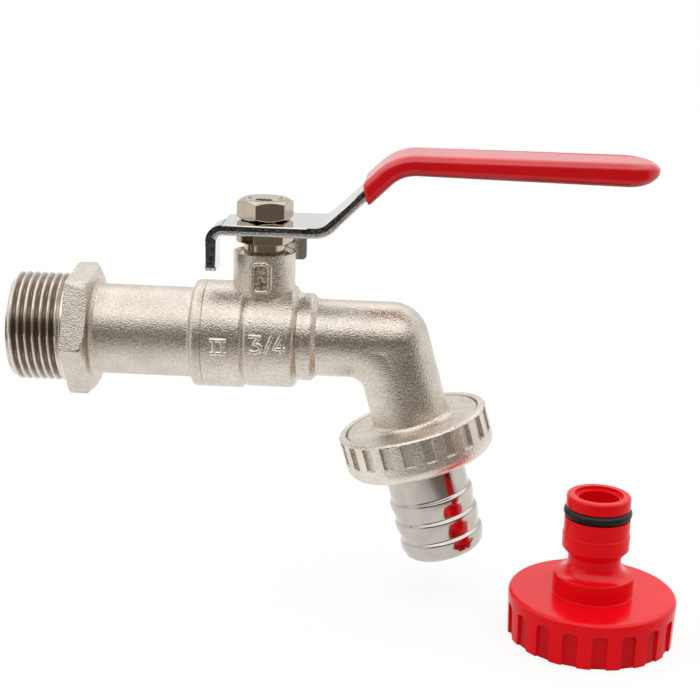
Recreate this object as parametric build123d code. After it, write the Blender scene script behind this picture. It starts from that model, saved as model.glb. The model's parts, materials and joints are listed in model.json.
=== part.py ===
from build123d import *
import math
import os

# Garden ball tap with hose tail and push-on adapter. Millimetres, +Z up, +X towards the spout.
# The origin lies on the inlet axis, at the shoulder where the inlet thread meets the hexagon.

os.makedirs("parts", exist_ok=True)

# Fits between pieces, all radial or one-sided
thread_gap = 0.08
running_gap = 0.05
ball_gap = 0.15
slot_gap = 0.1
stop_gap = 0.15
lift_gap = 0.25

# Inlet connector
inlet_thread_radius = 13.22
inlet_thread_length = 13.9
inlet_thread_chamfer = 1.0
inlet_thread_pitch = 1.814
inlet_thread_depth = 1.0
inlet_thread_crest = 0.3
inlet_thread_root = 0.3
inlet_thread_runout = 1.6
hex_flats = 28.2
hex_length = 5.7
hex_chamfer = 1.2
hex_edge = 0.3
hex_turn = 36.7
tube_radius = 10.95
tube_length = 24.3
tube_fillet = 1.3
collar_radius = 13.0
collar_length = 2.85
collar_round = 1.3
collar_fillet = 0.7
seam_edge = 0.25
inlet_bore_radius = 7.5
spigot_radius = 11.4

# Ball, its seats and the chamber they sit in
ball_radius = 9.6
ball_bore_radius = 6.25
ball_slot_floor = 0.9
chamber_gap = 0.8
seat_radius = 9.3
seat_bore_gap = 0.25
seat_wall = 0.9
seat_length = 2.9
seat_grip = 1.5

# Valve body, turned sections from the seam towards the spout
stem_from_seam = 13.78
body_entry_radius = 13.0
body_entry_length = 9.1
body_middle_radius = 12.5
body_middle_length = 10.9
body_middle_round = 1.5
body_groove_radius = 12.15
body_groove_length = 1.7
ridge_radius = 10.65
ridge_length = 2.3
ridge_step = 1.8
ridge_dip = 0.3
ridge_fall = 1.3
ridge_round = 1.0

# Spout, elbow and outlet head, with the leg leaning away from the inlet
spout_radius = 9.36
spout_length = 31.0
spout_bore_radius = 7.2
elbow_inner_radius = 4.3
elbow_sink = 0.05
leg_lean = 16.3
leg_length = 20.7
leg_flare = 1.5
head_radius = 16.62
head_length = 5.2
head_edge = 0.5

# Neck, badge frame and lever stop
neck_radius = 7.47
neck_top = 20.88
neck_fillet = 3.0
neck_root_sink = 0.1
neck_cup_radius = 7.0
neck_cup_depth = 2.0
packing_chamber_radius = 6.0
neck_web = 2.4
badge_width = 5.1
badge_height = 7.9
badge_middle = 15.67
badge_rim = 0.95
badge_proud = 0.35
badge_round = 1.5
stop_width = 4.0
stop_reach = 13.2
stop_top = 19.8
stop_foot = 4.0

# Stem, washer, packing and gland nut
stem_radius = 4.0
stem_flats = 6.0
stem_flange_radius = 5.4
stem_flange_lift = 0.4
stem_flange_height = 1.8
stem_tang_length = 8.0
stem_tang_width = 3.0
stem_above_nut = 0.25
stem_end_chamfer = 0.6
washer_height = 0.8
packing_height = 2.6
gland_thread_length = 2.8
gland_collar_radius = 4.95
gland_flats = 12.0
gland_hex_height = 2.7
gland_collar_height = 2.75
gland_chamfer = 0.3
gland_turn = 14.0

# Lever strip, seen from the stem axis
lever_thickness = 2.5
lever_plate_half_width = 10.4
lever_handle_half_width = 7.8
lever_plate_left = 9.2
lever_corner_cut = 6.5
lever_corner_round = 1.0
lever_taper_start = 12.0
lever_taper_length = 11.0
lever_crank_start = 15.0
lever_crank_rise = 16.3
lever_crank_angle = 44.5
lever_lower_bend = 5.25
lever_upper_bend = 10.5
lever_reach = 91.1
lever_end_round = 7.0
tab_bend_radius = 4.0
side_tab_reach = 12.85
rear_tab_width = 7.3
tab_drop = 8.7
tab_round = 1.2

# Lever sleeve and lever nut
sleeve_wall = 1.15
sleeve_drop = 0.9
sleeve_back = 9.2
sleeve_slant = 2.6
sleeve_edge = 2.0
lever_nut_flats = 12.0
lever_nut_height = 5.1
lever_nut_foot_chamfer = 0.8
lever_nut_top_chamfer = 0.9
lever_nut_turn = 17.4

# Hose tail, its washer and the union nut
tail_bore_radius = 7.6
tail_collar_gap = 1.5
tail_collar_length = 2.0
tail_hub_length = 2.4
tail_neck_radius = 9.85
tail_crest_radius = 10.45
tail_root_radius = 9.8
tail_first_crest = 40.0
tail_pitch = 5.3
tail_barbs = 3
tail_land = 1.5
tail_end = 55.2
tail_end_round = 1.0
tail_washer_height = 1.5
nut_wall = 1.73
nut_rim_lift = 0.3
nut_lip = 1.8
nut_lip_gap = 0.32
nut_groove_count = 22
nut_groove_turn = 4.0
nut_groove_width = 2.4
nut_groove_start = 0.7
nut_groove_length = 5.7
nut_groove_depth = 0.75
nut_rim_edge = 0.5
nut_foot_round = 2.8

# Push-on adapter, standing beside the tap on its own skirt
adapter_x = 127.73
adapter_y = -23.0
adapter_foot = -63.67
adapter_wall = 2.95
adapter_skirt = 11.13
adapter_disc = 2.8
adapter_edge = 1.1
adapter_draft = 0.37
adapter_groove_count = 18
adapter_groove_turn = -8.9
adapter_groove_width = 3.37
adapter_groove_depth = 0.94
adapter_groove_top = 3.0
adapter_groove_round = 0.94
adapter_hub_radius = 9.4
adapter_hub_height = 4.68
adapter_hub_rim = 0.1
adapter_neck_radius = 6.18
adapter_neck_height = 1.56
adapter_land_radius = 7.81
adapter_land_slope = 1.78
adapter_land_height = 3.46
adapter_shoulder_radius = 7.63
adapter_shoulder_height = 3.93
adapter_ring_radius = 1.26
adapter_ring_stand = 0.51
adapter_lip_radius = 7.44
adapter_lip_height = 2.9
adapter_lip_round = 0.65
adapter_bore_radius = 4.7
adapter_mouth_radius = 5.6
adapter_mouth_depth = 0.85
adapter_washer_height = 1.7
adapter_washer_bore = 9.0
adapter_washer_step = 0.6

# Places that follow from the sizes above
seam_x = hex_length + tube_length + collar_length
stem_x = seam_x + stem_from_seam
elbow_x = stem_x + spout_length
spout_start = (seam_x + body_entry_length + body_groove_length + body_middle_length
               + ridge_step + ridge_length + ridge_fall)
head_joint = leg_length - 2 * leg_flare
relief_radius = ball_radius + ball_gap
seat_bore_radius = ball_bore_radius + seat_bore_gap
seat_back = math.sqrt(relief_radius**2 - seat_bore_radius**2) + seat_wall
seat_mouth = seat_back - seat_grip
chamber_radius = ball_radius + chamber_gap
socket_radius = spigot_radius + thread_gap
stem_bore_radius = stem_radius + running_gap
flange_bottom = ball_radius + stem_flange_lift
flange_top = flange_bottom + stem_flange_height
washer_top = flange_top + washer_height
packing_floor = washer_top + neck_web
packing_top = packing_floor + packing_height
gland_collar_bottom = packing_top + gland_thread_length
gland_hex_bottom = gland_collar_bottom + gland_collar_height
gland_top = gland_hex_bottom + gland_hex_height
plate_bottom = gland_top + lift_gap
plate_top = plate_bottom + lever_thickness
lever_nut_top = plate_top + lever_nut_height
tab_inner = stop_width / 2 + stop_gap
side_tab_width = lever_plate_half_width - tab_inner
nut_inner_radius = head_radius + thread_gap
nut_radius = nut_inner_radius + nut_wall
tail_collar_radius = nut_inner_radius - tail_collar_gap
adapter_radius = nut_inner_radius + adapter_wall
nut_rim = leg_length - nut_rim_lift
head_end = leg_length + head_length
tail_top = head_end + tail_washer_height
collar_end = tail_top + tail_collar_length
nut_end = collar_end + nut_lip
nut_lip_radius = tail_crest_radius + nut_lip_gap
tail_hub_radius = nut_lip_radius - running_gap
adapter_socket_top = adapter_skirt - adapter_disc
adapter_thread_top = adapter_socket_top - adapter_washer_height
adapter_washer_seat = nut_inner_radius - adapter_washer_step
adapter_hub_top = adapter_skirt + adapter_hub_height
adapter_cove = adapter_hub_radius - adapter_hub_rim - adapter_neck_radius
adapter_neck_top = adapter_hub_top + adapter_cove + adapter_neck_height
adapter_land_start = adapter_neck_top + adapter_land_slope
adapter_land_top = adapter_land_start + adapter_land_height
adapter_ring_floor = adapter_land_top + adapter_shoulder_height
adapter_ring_top = adapter_ring_floor + 2 * adapter_ring_radius
adapter_top = adapter_ring_top + adapter_lip_height
leg_direction = (math.sin(math.radians(leg_lean)), 0, -math.cos(math.radians(leg_lean)))
leg_plane = Plane(origin=(elbow_x, 0, 0), x_dir=(0, 1, 0), z_dir=leg_direction)
stem_place = Pos(stem_x, 0, 0)
adapter_place = Pos(adapter_x, adapter_y, adapter_foot)


def turned(section):
    """Solid of revolution about +Z from (radius, height) or (radius, height, rounding) corners."""
    corners = [(corner[0], 0, corner[1]) for corner in section]
    rounds = [corner[2] if len(corner) > 2 else 0 for corner in section]
    outline = FilletPolyline(*corners, radius=rounds, close=True)
    return revolve(make_face(outline), Axis.Z)


def along_x(solid):
    """Turn a solid made along +Z so that it runs along +X."""
    return Rot(0, 90, 0) * solid


def rod(radius, start, end):
    """Round bar about +Z between two heights."""
    return Pos(0, 0, start) * Cylinder(radius, end - start, align=(Align.CENTER, Align.CENTER, Align.MIN))


def hexagon(flats, start, end, low_chamfer, high_chamfer):
    """Hexagon bar about +Z whose corners are turned down by the given heights at its two ends."""
    corner = flats / math.sqrt(3)
    prism = Pos(0, 0, start) * extrude(RegularPolygon(corner, 6), end - start)
    return prism & turned([
        (0, start),
        (corner - math.sqrt(3) * low_chamfer, start),
        (corner, start + low_chamfer),
        (corner, end - high_chamfer),
        (corner - math.sqrt(3) * high_chamfer, end),
        (0, end),
    ])


def double_d(radius, flats, start, end):
    """Round bar about +Z with two flats that face -Y and +Y."""
    return rod(radius, start, end) & Pos(0, 0, start) * Box(
        2 * radius, flats, end - start, align=(Align.CENTER, Align.CENTER, Align.MIN)
    )


def thread_rings():
    """Outline corners of the inlet thread, drawn as rings at its pitch, from the pipe end on."""
    crest_start = inlet_thread_chamfer - inlet_thread_length
    root_radius = inlet_thread_radius - inlet_thread_depth
    flank = (inlet_thread_pitch - inlet_thread_crest - inlet_thread_root) / 2
    corners = [(inlet_thread_radius, crest_start)]
    for ring in range(int((-crest_start - inlet_thread_runout) / inlet_thread_pitch)):
        crest_end = crest_start + ring * inlet_thread_pitch + inlet_thread_crest
        corners.append((inlet_thread_radius, crest_end))
        corners.append((root_radius, crest_end + flank))
        corners.append((root_radius, crest_end + flank + inlet_thread_root))
        corners.append((inlet_thread_radius, crest_end + 2 * flank + inlet_thread_root))
    return corners


def make_inlet_connector():
    """Threaded inlet, hexagon, tube and collar, with the spigot that screws into the body."""
    tip = stem_x - seat_mouth
    back = stem_x - seat_back
    shell = turned([
        (0, -inlet_thread_length),
        (inlet_thread_radius - inlet_thread_chamfer, -inlet_thread_length),
        *thread_rings(),
        (inlet_thread_radius, hex_length / 2),
        (tube_radius + tube_fillet, hex_length / 2),
        (tube_radius + tube_fillet, hex_length),
        (tube_radius, hex_length + tube_fillet, tube_fillet / 2),
        (tube_radius, seam_x - collar_length, collar_fillet),
        (collar_radius, seam_x - collar_length, collar_round),
        (collar_radius, seam_x - seam_edge),
        (collar_radius - seam_edge, seam_x),
        (spigot_radius, seam_x),
        (spigot_radius, tip),
        (0, tip),
    ])
    shell += Rot(0, 0, hex_turn) * hexagon(hex_flats, 0, hex_length, hex_edge, hex_chamfer)
    shell -= rod(inlet_bore_radius, -inlet_thread_length, back)
    shell -= rod(seat_radius, back, tip)
    return along_x(shell)


def make_body_sections():
    """Turned sections of the valve body about the inlet axis, solid inside."""
    groove_start = seam_x + body_entry_length
    middle_start = groove_start + body_groove_length
    middle_end = middle_start + body_middle_length
    ridge_start = middle_end + ridge_step
    ridge_end = ridge_start + ridge_length
    return along_x(turned([
        (0, seam_x),
        (body_entry_radius - seam_edge, seam_x),
        (body_entry_radius, seam_x + seam_edge),
        (body_entry_radius, groove_start, ridge_round),
        (body_groove_radius, groove_start + body_groove_length / 2),
        (body_middle_radius, middle_start, ridge_round),
        (body_middle_radius, middle_end, body_middle_round),
        (ridge_radius - ridge_dip, ridge_start - ridge_step / 2, ridge_round / 2),
        (ridge_radius, ridge_start + ridge_round / 2, ridge_round / 2),
        (ridge_radius, ridge_end, ridge_round),
        (spout_radius, spout_start),
        (0, spout_start),
    ]))


def make_elbow_bend():
    """Smooth bend that rounds the elbow's corner inside, sunk a little into the tubes it joins."""
    section_radius = spout_radius - elbow_sink
    bend = section_radius + elbow_inner_radius
    turn = 90 - leg_lean
    start_x = elbow_x - bend * math.tan(math.radians(turn / 2))
    section = Plane(origin=(start_x, 0, 0), z_dir=(1, 0, 0)) * Circle(section_radius)
    return revolve(section, Axis((start_x, 0, -bend), (0, 1, 0)), turn)


def make_outlet_head():
    """Threaded outlet head with the fillet that joins it to the leg, about the leg axis."""
    return leg_plane * turned([
        (0, head_joint),
        (spout_radius, head_joint),
        (spout_radius, leg_length, leg_flare),
        (head_radius - head_edge, leg_length),
        (head_radius, leg_length + head_edge),
        (head_radius, head_end - head_edge),
        (head_radius - head_edge, head_end),
        (0, head_end),
    ])


def make_spout():
    """Round spout with its elbow: ball outside the corner, smooth bend inside, threaded head below."""
    spout = along_x(rod(spout_radius, spout_start, elbow_x))
    spout += leg_plane * rod(spout_radius, 0, head_joint)
    spout += Pos(elbow_x, 0, 0) * Sphere(spout_radius)
    spout += make_elbow_bend()
    return spout + make_outlet_head()


def make_badge_frame():
    """Raised rounded frame on the front of the neck, round a bare field."""
    upright = Plane(origin=(stem_x, 0, badge_middle), x_dir=(1, 0, 0), z_dir=(0, -1, 0))
    outer = RectangleRounded(badge_width, badge_height, badge_round)
    field = RectangleRounded(badge_width - 2 * badge_rim, badge_height - 2 * badge_rim, badge_round / 2)
    frame = extrude(upright * outer, neck_radius + badge_proud)
    frame -= extrude(upright * field, neck_radius + 2 * badge_proud)
    return frame + extrude(upright * field, packing_chamber_radius)


def make_lever_stop():
    """Rib behind the neck that stops the lever's two tabs."""
    rib = Pos(stem_x, 0, stop_foot) * Box(
        stop_width, stop_reach, stop_top - stop_foot, align=(Align.CENTER, Align.MIN, Align.MIN)
    )
    outer_edge = rib.edges().filter_by(Axis.X).group_by(Axis.Y)[-1]
    return chamfer(outer_edge, stop_width / 4)


def make_waterway():
    """Everything hollow in the body: socket, ball chamber, spout bore and stem bores."""
    mouth = stem_x - seat_mouth
    pocket_end = stem_x + seat_back
    hollow = along_x(rod(socket_radius, seam_x, mouth))
    hollow += along_x(rod(chamber_radius, mouth, stem_x + seat_mouth))
    hollow += along_x(rod(seat_radius, stem_x + seat_mouth, pocket_end))
    hollow += along_x(rod(spout_bore_radius, pocket_end, elbow_x))
    hollow += Pos(elbow_x, 0, 0) * Sphere(spout_bore_radius)
    hollow += leg_plane * rod(spout_bore_radius, 0, head_end)
    hollow += stem_place * rod(stem_flange_radius + running_gap, 0, washer_top)
    hollow += stem_place * rod(stem_bore_radius, 0, neck_top)
    hollow += stem_place * rod(packing_chamber_radius, packing_floor, neck_top)
    hollow += stem_place * turned([
        (0, neck_top - neck_cup_depth),
        (packing_chamber_radius, neck_top - neck_cup_depth),
        (neck_cup_radius, neck_top),
        (0, neck_top),
    ])
    return hollow


def make_neck():
    """Neck that flares into the body: wide towards the ridge, hardly at all where the body is fatter."""
    core_radius = ridge_radius - neck_root_sink
    core = along_x(rod(core_radius, stem_x - body_middle_length, stem_x + body_middle_length))
    neck = core + stem_place * rod(neck_radius, 0, neck_top)
    root = [edge for edge in neck.edges() if edge.geom_type not in (GeomType.CIRCLE, GeomType.LINE)]
    return fillet(root, neck_fillet)


def make_body():
    """One forging: valve body, neck with badge frame and lever stop, spout, elbow and outlet head."""
    shell = make_body_sections() + make_neck()
    shell += make_spout()
    shell += make_badge_frame()
    shell += make_lever_stop()
    return shell - make_waterway()


def make_ball():
    """Bored ball with a slot across its top for the stem's tang."""
    slot_bottom = ball_bore_radius + ball_slot_floor
    slot = Pos(0, 0, slot_bottom) * Box(
        stem_tang_width + 2 * slot_gap, 2 * ball_radius, ball_radius,
        align=(Align.CENTER, Align.CENTER, Align.MIN)
    )
    bored = Sphere(ball_radius) - along_x(rod(ball_bore_radius, -ball_radius, ball_radius))
    return stem_place * (bored - slot)


def make_seat(side):
    """Sealing ring with a spherical face, on the given side of the ball along X."""
    ring = turned([
        (seat_bore_radius, seat_back - seat_length),
        (seat_radius, seat_back - seat_length),
        (seat_radius, seat_back),
        (seat_bore_radius, seat_back),
    ])
    return stem_place * Rot(0, 90 * side, 0) * (ring - Sphere(relief_radius))


def make_stem():
    """Tang, flange and shaft, with a threaded end that has two flats for the lever."""
    top = lever_nut_top + stem_above_nut
    tang_bottom = ball_bore_radius + ball_slot_floor + slot_gap
    tang = Pos(0, 0, tang_bottom) * Box(
        stem_tang_width, stem_tang_length, flange_bottom - tang_bottom,
        align=(Align.CENTER, Align.CENTER, Align.MIN)
    )
    bar = rod(stem_flange_radius, flange_bottom, flange_top)
    bar += rod(stem_radius, flange_top, plate_bottom)
    end = double_d(stem_radius, stem_flats, plate_bottom, top)
    end &= turned([
        (0, plate_bottom),
        (stem_radius, plate_bottom),
        (stem_radius, top - stem_end_chamfer),
        (stem_radius - stem_end_chamfer, top),
        (0, top),
    ])
    return stem_place * (tang + bar + end)


def make_ring(inner_radius, outer_radius, start, end):
    """Flat ring about +Z."""
    return turned([(inner_radius, start), (outer_radius, start), (outer_radius, end), (inner_radius, end)])


def make_gland_nut():
    """Nut that presses the packing: threaded shank, round collar and hexagon."""
    nut = rod(packing_chamber_radius - thread_gap, packing_top, gland_collar_bottom)
    nut += rod(gland_collar_radius, gland_collar_bottom, gland_hex_bottom)
    grip = hexagon(gland_flats, gland_hex_bottom, gland_top, gland_chamfer, gland_chamfer)
    nut += Rot(0, 0, gland_turn) * grip
    return stem_place * (nut - rod(stem_bore_radius, packing_top, gland_top))


def lever_edge_points(offset):
    """The strip's cranked centre line, in side view, moved by an offset across the strip."""
    middle = plate_bottom + lever_thickness / 2
    run = lever_crank_rise / math.tan(math.radians(lever_crank_angle))
    shift = offset * math.tan(math.radians(lever_crank_angle / 2))
    lower = (lever_crank_start - shift, 0, middle + offset)
    upper = (lever_crank_start + run - shift, 0, middle + lever_crank_rise + offset)
    return lower, upper


def make_lever_strip():
    """Cranked flat strip as wide as the plate, in side view from the stem axis."""
    half = lever_thickness / 2
    top_lower, top_upper = lever_edge_points(half)
    low_lower, low_upper = lever_edge_points(-half)
    outline = FilletPolyline(
        (-lever_plate_left, 0, plate_bottom),
        low_lower,
        low_upper,
        (lever_reach, 0, low_upper[2]),
        (lever_reach, 0, top_upper[2]),
        top_upper,
        top_lower,
        (-lever_plate_left, 0, plate_top),
        radius=[0, lever_lower_bend + half, lever_upper_bend - half, 0, 0,
                lever_upper_bend + half, lever_lower_bend - half, 0],
        close=True,
    )
    return extrude(make_face(outline), lever_plate_half_width, both=True)


def make_lever_plan():
    """Outline of the strip from above: wide plate with a cut corner, tapering to the handle."""
    wide = lever_plate_half_width
    slim = lever_handle_half_width
    taper_end = lever_taper_start + lever_taper_length
    outline = FilletPolyline(
        (-lever_plate_left, -wide),
        (lever_taper_start, -wide),
        (taper_end, -slim),
        (lever_reach, -slim),
        (lever_reach, slim),
        (taper_end, slim),
        (lever_taper_start, wide),
        (lever_corner_cut - lever_plate_left, wide),
        (-lever_plate_left, wide - lever_corner_cut),
        radius=[0, wide, wide, lever_end_round, lever_end_round, wide, wide,
                lever_corner_round, lever_corner_round],
        close=True,
    )
    return extrude(make_face(outline), lever_nut_top + lever_crank_rise)


def make_tab(reach, width):
    """Tab bent down at +X, as far out as reach, with its width centred on the X axis."""
    outer = tab_bend_radius
    outline = FilletPolyline(
        (0, 0, plate_bottom),
        (reach - lever_thickness, 0, plate_bottom),
        (reach - lever_thickness, 0, plate_top - lever_thickness - tab_drop),
        (reach, 0, plate_top - lever_thickness - tab_drop),
        (reach, 0, plate_top),
        (0, 0, plate_top),
        radius=[0, outer - lever_thickness, 0, 0, outer, 0],
        close=True,
    )
    tab = extrude(make_face(outline), width / 2, both=True)
    corners = tab.edges().filter_by(Axis.X).group_by(Axis.Z)[0]
    return fillet(corners, tab_round)


def make_lever():
    """Lever strip with its side tab and rear tab and the hole with two flats."""
    strip = make_lever_strip() & make_lever_plan()
    side_tab = Rot(0, 0, 180) * make_tab(side_tab_reach, side_tab_width)
    strip += Pos(0, -tab_inner - side_tab_width / 2, 0) * side_tab
    rear_tab = Rot(0, 0, 90) * make_tab(lever_plate_half_width, rear_tab_width)
    strip += Pos(tab_inner + rear_tab_width / 2, 0, 0) * rear_tab
    strip -= double_d(stem_radius + slot_gap, stem_flats + 2 * slot_gap, plate_bottom, plate_top)
    return stem_place * strip


def make_sleeve_blank():
    """Outside of the dipped sleeve: it starts aslant on the crank and grows thicker below to its end."""
    half = lever_thickness / 2 + sleeve_wall
    angle = math.radians(lever_crank_angle)
    _, corner = lever_edge_points(0)
    _, top_corner = lever_edge_points(half)
    _, low_corner = lever_edge_points(-half)
    low_back = sleeve_back + sleeve_slant
    across = (-half * math.sin(angle), half * math.cos(angle))
    top_start = (corner[0] - sleeve_back * math.cos(angle) + across[0],
                 corner[2] - sleeve_back * math.sin(angle) + across[1])
    low_start = (corner[0] - low_back * math.cos(angle) - across[0],
                 corner[2] - low_back * math.sin(angle) - across[1])
    end_x = lever_reach + sleeve_wall
    outline = FilletPolyline(
        (low_start[0], 0, low_start[1]),
        low_corner,
        (end_x, 0, low_corner[2] - sleeve_drop),
        (end_x, 0, top_corner[2]),
        top_corner,
        (top_start[0], 0, top_start[1]),
        radius=[0, lever_upper_bend - half, 0, 0, lever_upper_bend + half, 0],
        close=True,
    )
    width = lever_handle_half_width + sleeve_wall
    blank = extrude(make_face(outline), width, both=True)
    ends = blank.edges().filter_by(Axis.Z).group_by(Axis.X)[-1]
    blank = fillet(ends, lever_end_round + sleeve_wall)
    long_edges = blank.edges().filter_by(GeomType.LINE).sort_by(SortBy.LENGTH)[-4:]
    return fillet(long_edges, sleeve_edge)


def make_lever_sleeve():
    """Dipped sleeve with soft edges, hollow where the lever strip runs."""
    blank = make_sleeve_blank()
    return stem_place * blank - make_lever()


def make_lever_nut():
    """Hexagon nut on the stem, chamfered at both ends."""
    nut = hexagon(
        lever_nut_flats, plate_top, lever_nut_top, lever_nut_foot_chamfer, lever_nut_top_chamfer
    )
    nut -= rod(stem_radius + running_gap, plate_top, lever_nut_top)
    return stem_place * Rot(0, 0, lever_nut_turn) * nut


def make_hose_tail():
    """Ribbed tail with the collar that the union nut holds, about the leg axis."""
    section = [
        (tail_bore_radius, tail_top),
        (tail_collar_radius, tail_top),
        (tail_collar_radius, collar_end),
        (tail_hub_radius, collar_end),
        (tail_hub_radius, collar_end + tail_hub_length),
        (tail_neck_radius, collar_end + tail_hub_length + tail_hub_radius - tail_neck_radius),
    ]
    rise = tail_crest_radius - tail_root_radius
    for barb in range(tail_barbs):
        crest = tail_first_crest + barb * tail_pitch
        root_radius = tail_neck_radius if barb == 0 else tail_root_radius
        section.append((root_radius, crest - rise))
        section.append((tail_crest_radius, crest))
        section.append((tail_crest_radius, crest + tail_land))
    section.append((tail_root_radius, tail_end - tail_end_round))
    section.append((tail_root_radius - tail_end_round, tail_end))
    section.append((tail_bore_radius, tail_end))
    return leg_plane * turned(section)


def make_nut_groove(index):
    """One upright groove in the union nut's side, closed at both ends."""
    groove = Pos(nut_radius, 0, nut_rim + nut_groove_start) * Box(
        2 * nut_groove_depth, nut_groove_width, nut_groove_length,
        align=(Align.CENTER, Align.CENTER, Align.MIN)
    )
    return Rot(0, 0, nut_groove_turn + 360 * index / nut_groove_count) * groove


def make_union_nut():
    """Grooved nut with an inside lip that carries the tail's collar, about the leg axis."""
    nut = turned([
        (nut_inner_radius, nut_rim),
        (nut_radius - nut_rim_edge, nut_rim),
        (nut_radius, nut_rim + nut_rim_edge),
        (nut_radius, nut_end, nut_foot_round),
        (nut_lip_radius, nut_end),
        (nut_lip_radius, collar_end),
        (nut_inner_radius, collar_end),
    ])
    for index in range(nut_groove_count):
        nut -= make_nut_groove(index)
    return leg_plane * nut


def make_adapter_groove(index):
    """One grip groove in the adapter's skirt, open at the foot and round at its top."""
    height = adapter_skirt - adapter_groove_top
    blank = Pos(adapter_radius, 0, 0) * Box(
        2 * adapter_groove_depth, adapter_groove_width, 2 * height
    )
    top = blank.edges().filter_by(Axis.X).group_by(Axis.Z)[-1]
    turn = adapter_groove_turn + 360 * index / adapter_groove_count
    return Rot(0, 0, turn) * fillet(top, adapter_groove_round)


def make_click_adapter():
    """Moulded adapter: grooved skirt with a threaded socket below, stepped push-on spigot above."""
    ring_root = adapter_lip_radius + adapter_ring_stand - 2 * adapter_ring_radius
    shape = turned([
        (0, 0),
        (adapter_radius - adapter_draft, 0),
        (adapter_radius, adapter_skirt, adapter_edge),
        (adapter_hub_radius, adapter_skirt),
        (adapter_hub_radius, adapter_hub_top),
        (adapter_neck_radius, adapter_hub_top, adapter_cove),
        (adapter_neck_radius, adapter_neck_top),
        (adapter_land_radius, adapter_land_start),
        (adapter_land_radius, adapter_land_top),
        (adapter_shoulder_radius, adapter_land_top),
        (adapter_shoulder_radius, adapter_ring_floor),
        (ring_root, adapter_ring_floor),
        (ring_root, adapter_ring_top),
        (adapter_lip_radius, adapter_ring_top),
        (adapter_lip_radius, adapter_top, adapter_lip_round),
        (0, adapter_top),
    ])
    for index in range(adapter_groove_count):
        shape -= make_adapter_groove(index)
    shape -= rod(nut_inner_radius, 0, adapter_thread_top)
    shape -= rod(adapter_washer_seat, 0, adapter_socket_top)
    shape -= rod(adapter_bore_radius, 0, adapter_top)
    shape -= rod(adapter_mouth_radius, adapter_top - adapter_mouth_depth, adapter_top)
    return adapter_place * shape


def make_adapter_o_ring():
    """Rubber ring in the adapter's groove."""
    centre_radius = adapter_lip_radius + adapter_ring_stand - adapter_ring_radius
    ring = Torus(centre_radius, adapter_ring_radius - running_gap)
    return adapter_place * Pos(0, 0, adapter_ring_floor + adapter_ring_radius) * ring


def make_adapter_washer():
    """Flat washer in its seat at the top of the adapter's socket."""
    outer_radius = adapter_washer_seat - running_gap
    ring = make_ring(adapter_washer_bore, outer_radius, adapter_thread_top, adapter_socket_top)
    return adapter_place * ring


def make_thrust_washer():
    """Washer between the stem's flange and the neck."""
    return stem_place * make_ring(stem_bore_radius, stem_flange_radius, flange_top, washer_top)


def make_packing_ring():
    """Packing round the stem, under the gland nut."""
    outer_radius = packing_chamber_radius - running_gap
    return stem_place * make_ring(stem_bore_radius, outer_radius, packing_floor, packing_top)


def make_tail_washer():
    """Flat washer between the outlet head and the hose tail."""
    return leg_plane * make_ring(tail_bore_radius, tail_collar_radius, head_end, tail_top)


pieces = {
    "inlet_connector": make_inlet_connector(),
    "body": make_body(),
    "ball": make_ball(),
    "seat_inlet": make_seat(-1),
    "seat_outlet": make_seat(1),
    "stem": make_stem(),
    "stem_thrust_washer": make_thrust_washer(),
    "packing_ring": make_packing_ring(),
    "gland_nut": make_gland_nut(),
    "lever": make_lever(),
    "lever_sleeve": make_lever_sleeve(),
    "lever_nut": make_lever_nut(),
    "hose_tail": make_hose_tail(),
    "tail_washer": make_tail_washer(),
    "union_nut": make_union_nut(),
    "click_adapter": make_click_adapter(),
    "adapter_o_ring": make_adapter_o_ring(),
    "adapter_washer": make_adapter_washer(),
}

for name, piece in pieces.items():
    export_step(piece, f"parts/{name}.step")
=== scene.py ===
import json
import math

import bmesh
import bpy
from mathutils import Matrix, Vector

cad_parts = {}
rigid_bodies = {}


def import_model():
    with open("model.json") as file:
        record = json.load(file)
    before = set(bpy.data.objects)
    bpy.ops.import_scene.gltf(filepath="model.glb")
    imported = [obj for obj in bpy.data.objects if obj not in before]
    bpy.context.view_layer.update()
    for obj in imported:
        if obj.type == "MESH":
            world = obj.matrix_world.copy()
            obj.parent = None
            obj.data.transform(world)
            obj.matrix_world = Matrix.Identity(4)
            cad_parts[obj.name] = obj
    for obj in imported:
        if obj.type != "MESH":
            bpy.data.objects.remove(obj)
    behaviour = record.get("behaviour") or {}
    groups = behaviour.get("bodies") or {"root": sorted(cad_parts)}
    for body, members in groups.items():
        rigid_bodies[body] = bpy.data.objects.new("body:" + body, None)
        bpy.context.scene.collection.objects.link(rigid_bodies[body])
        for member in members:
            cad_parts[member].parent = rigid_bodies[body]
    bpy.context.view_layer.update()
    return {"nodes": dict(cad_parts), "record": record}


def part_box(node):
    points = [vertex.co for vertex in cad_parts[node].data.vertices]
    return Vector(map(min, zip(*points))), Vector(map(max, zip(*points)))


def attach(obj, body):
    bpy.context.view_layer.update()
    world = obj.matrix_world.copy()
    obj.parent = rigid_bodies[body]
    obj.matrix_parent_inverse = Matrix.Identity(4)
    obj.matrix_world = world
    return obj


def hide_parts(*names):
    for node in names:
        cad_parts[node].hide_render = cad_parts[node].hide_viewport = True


for default in list(bpy.data.objects):
    bpy.data.objects.remove(default)

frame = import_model()
nodes = frame["nodes"]
record = frame["record"]
mounts = {mount["name"]: mount for mount in record["mounts"]}
joints = {joint["name"]: joint for joint in record["behaviour"]["joints"]}
body_of_node = {node: body for body, members in record["behaviour"]["bodies"].items() for node in members}
slot_of_node = {row["node"]: row["material_slot"] for row in record["subparts"]}

MM = 0.001
STEM_X = joints["lever_turn"]["pos_m"][0]

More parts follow.
